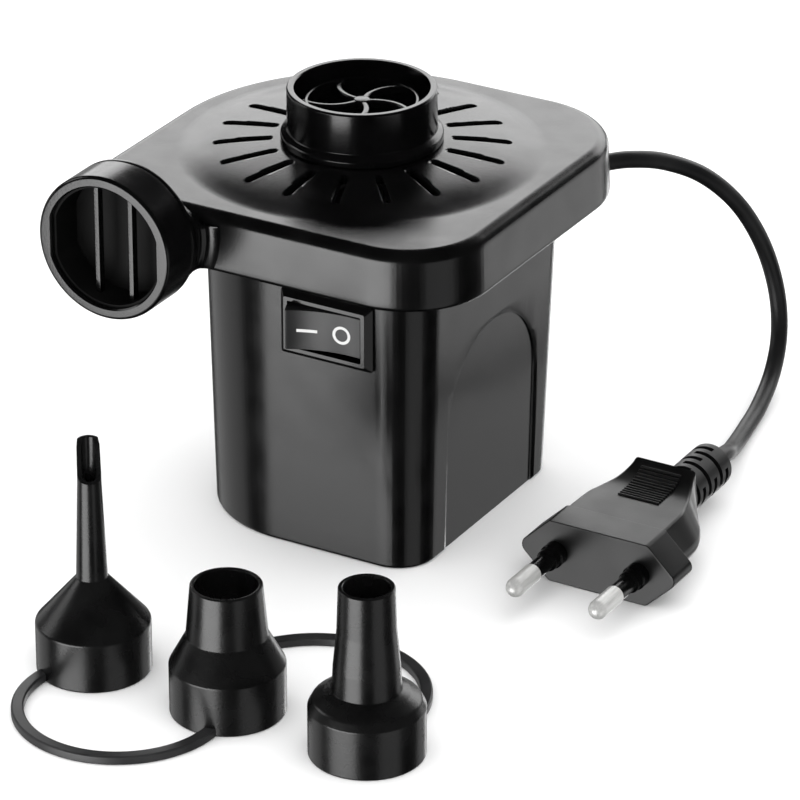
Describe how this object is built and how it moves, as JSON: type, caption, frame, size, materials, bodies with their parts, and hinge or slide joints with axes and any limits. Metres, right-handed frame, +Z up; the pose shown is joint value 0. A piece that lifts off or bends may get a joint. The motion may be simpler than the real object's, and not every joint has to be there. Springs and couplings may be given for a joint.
{
  "type": "electric air mattress pump",
  "caption": "Mains electric air pump with a square vented top, round inlet and side outlet, rocker switch, flexible lead with a two-pin plug, and tied clip-on nozzles.",
  "frame": {"origin": "on the floor under the common axis of the air inlet, motor and fan", "axes": "+Z up along the inlet, motor and fan axis; the switch and the air outlet face -Y, and the outlet is at -X"},
  "size_m": [0.1246, 0.2215, 0.0912],
  "materials": {
    "black_plastic": "fine satin black ABS",
    "dark_plastic": "matte black nylon",
    "grey_plastic": "matte grey nylon",
    "cord_rubber": "soft black PVC",
    "steel": "zinc-plated steel",
    "nickel": "nickel-plated brass",
    "copper": "copper and sintered bronze",
    "magnet": "dark ferrite and carbon",
    "circuit_board": "green laminate",
    "wire_red": "red PVC insulation"
  },
  "bodies": {
    "housing": {"lower_housing": "black_plastic", "top_cover": "black_plastic", "inlet_collar": "black_plastic", "inlet_guard": "black_plastic", "outlet_collar": "black_plastic", "switch_frame": "black_plastic", "plug_body": "black_plastic", "plug_face": "black_plastic", "pin_sleeve_1": "black_plastic", "pin_sleeve_2": "black_plastic", "fan_plate": "dark_plastic", "fan_scroll": "dark_plastic", "motor_mount_ring": "dark_plastic", "motor_cradle": "dark_plastic", "motor_end_cap": "dark_plastic", "capacitor": "dark_plastic", "rectifier": "dark_plastic", "board_bracket": "dark_plastic", "lead_neutral": "dark_plastic", "lead_motor_2": "dark_plastic", "cord": "cord_rubber", "cord_gland": "cord_rubber", "plug_boot": "cord_rubber", "housing_screw_1": "steel", "housing_screw_2": "steel", "housing_screw_3": "steel", "housing_screw_4": "steel", "cover_screw_1": "steel", "cover_screw_2": "steel", "cover_screw_3": "steel", "cover_screw_4": "steel", "motor_can": "steel", "motor_screw_1": "steel", "motor_screw_2": "steel", "switch_terminal_1": "nickel", "switch_terminal_2": "nickel", "plug_pin_1": "nickel", "plug_pin_2": "nickel", "bearing_upper": "copper", "bearing_lower": "copper", "motor_magnet_1": "magnet", "motor_magnet_2": "magnet", "brush_1": "magnet", "brush_2": "magnet", "circuit_board": "circuit_board", "lead_live": "wire_red", "lead_motor_1": "wire_red"},
    "rotor": {"motor_shaft": "steel", "rotor_core": "steel", "commutator": "copper", "impeller": "grey_plastic", "impeller_nut": "steel"},
    "rocker": {"switch_rocker": "black_plastic"},
    "nozzle_set": {"nozzle_needle": "black_plastic", "nozzle_wide": "black_plastic", "nozzle_slim": "black_plastic", "strap_1": "black_plastic", "strap_2": "black_plastic"}
  },
  "joints": [
    {"name": "rotor_spin", "type": "hinge", "parent": "housing", "child": "rotor", "pos_m": [0, 0, 0.07], "axis": [0, 0, 1], "continuous": true},
    {"name": "switch_rock", "type": "hinge", "parent": "housing", "child": "rocker", "pos_m": [0.00945, -0.03133, 0.0515], "axis": [0, 0, -1], "range_deg": [0, 25]},
    {"name": "nozzle_lift", "type": "slide", "parent": "housing", "child": "nozzle_set", "axis": [0, 0, 1], "range_m": [0, 0.12]}
  ]
}
